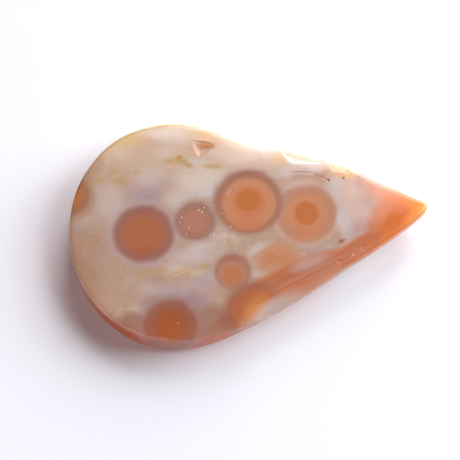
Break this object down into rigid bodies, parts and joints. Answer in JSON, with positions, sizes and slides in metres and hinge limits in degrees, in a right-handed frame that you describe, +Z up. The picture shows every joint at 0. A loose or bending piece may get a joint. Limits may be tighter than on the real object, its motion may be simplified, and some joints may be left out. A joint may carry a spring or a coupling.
{
  "type": "polished ocean jasper freeform",
  "caption": "Flat-topped teardrop of polished ocean jasper with round agate orbs, lying on its flat back as a gem, pendant blank or display stone.",
  "frame": {"origin": "centre of the bounding box on the plane of the flat back, which is the plane the stone lies on", "axes": "+Z up out of the polished top, +X along the teardrop towards its point, +Y towards the edge with the concave dip and the chips"},
  "size_m": [0.0448, 0.0288, 0.0055],
  "materials": {
    "polished_chalcedony": "translucent cream and lavender chalcedony with orange orbs, glassy hand polish"
  },
  "bodies": {
    "root": {"jasper_stone": "polished_chalcedony"}
  },
  "joints": []
}
